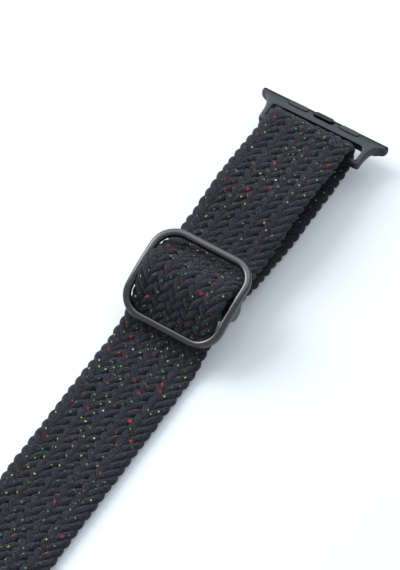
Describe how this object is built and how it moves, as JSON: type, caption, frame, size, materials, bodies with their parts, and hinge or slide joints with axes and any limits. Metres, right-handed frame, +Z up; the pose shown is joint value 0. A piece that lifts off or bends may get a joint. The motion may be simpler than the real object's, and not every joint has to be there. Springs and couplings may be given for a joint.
{
  "type": "stretch watch band",
  "caption": "Flat braided elastic strap with a sliding adjuster buckle and a slide-in watch connector with a sprung latch at each end.",
  "frame": {"origin": "under the middle of the laid-out band, on the surface that it lies on", "axes": "+X along the strap towards the connector beside the buckle, +Z up, the band's outer side up"},
  "size_m": [0.1404, 0.0288, 0.012],
  "materials": {
    "strap": "braided yarn over elastic, charcoal with coloured flecks",
    "thread": "black sewing thread",
    "buckle_metal": "satin gunmetal coating",
    "connector_metal": "fine bead-blasted grey coating",
    "latch_metal": "polished",
    "spring_wire": "bare spring wire",
    "plate_metal": "bare steel",
    "pad_rubber": "matt dark elastomer"
  },
  "bodies": {
    "buckle": {"buckle_frame": "buckle_metal", "buckle_centre_bar": "buckle_metal", "strap_buckle_pass": "strap", "strap_end_wrap": "strap", "wrap_seam_thread": "thread"},
    "upper_end": {"strap_upper_loop": "strap", "strap_upper_run": "strap", "strap_return_run": "strap"},
    "upper_connector": {"upper_connector": "connector_metal", "upper_latch_plate": "plate_metal", "upper_latch_spring_left": "spring_wire", "upper_latch_spring_right": "spring_wire", "upper_pad_left": "pad_rubber", "upper_pad_right": "pad_rubber"},
    "upper_latch": {"upper_latch": "latch_metal"},
    "lower_end": {"strap_lower_fold": "strap", "strap_lower_run": "strap", "fold_seam_thread": "thread"},
    "lower_connector": {"lower_connector": "connector_metal", "lower_latch_plate": "plate_metal", "lower_latch_spring_left": "spring_wire", "lower_latch_spring_right": "spring_wire", "lower_pad_left": "pad_rubber", "lower_pad_right": "pad_rubber"},
    "lower_latch": {"lower_latch": "latch_metal"}
  },
  "joints": [
    {"name": "upper_slide", "type": "slide", "parent": "buckle", "child": "upper_end", "axis": [1, 0, 0], "range_m": [-0.01, 0.01], "deforming": ["strap_upper_run", "strap_return_run"]},
    {"name": "lower_slide", "type": "slide", "parent": "buckle", "child": "lower_end", "axis": [1, 0, 0], "range_m": [-0.02, 0.02], "deforming": ["strap_lower_run"]},
    {"name": "upper_hinge", "type": "hinge", "parent": "upper_end", "child": "upper_connector", "pos_m": [0.0634, 0, 0.0046], "axis": [0, 1, 0], "range_deg": [-35, 35]},
    {"name": "upper_latch_press", "type": "slide", "parent": "upper_connector", "child": "upper_latch", "axis": [-0.342, 0, -0.9397], "range_m": [0, 0.0004], "stiffness_N_per_m": 400, "springref_m": -0.0003, "deforming": ["upper_latch_spring_left", "upper_latch_spring_right"]},
    {"name": "lower_hinge", "type": "hinge", "parent": "lower_end", "child": "lower_connector", "pos_m": [-0.0634, 0, 0.00315], "axis": [0, 1, 0], "range_deg": [-35, 35]},
    {"name": "lower_latch_press", "type": "slide", "parent": "lower_connector", "child": "lower_latch", "axis": [0.342, 0, -0.9397], "range_m": [0, 0.0004], "stiffness_N_per_m": 400, "springref_m": -0.0003, "deforming": ["lower_latch_spring_left", "lower_latch_spring_right"]}
  ],
  "couplings": [
    {"joint": "lower_slide", "follows": "upper_slide", "ratio": 2}
  ]
}
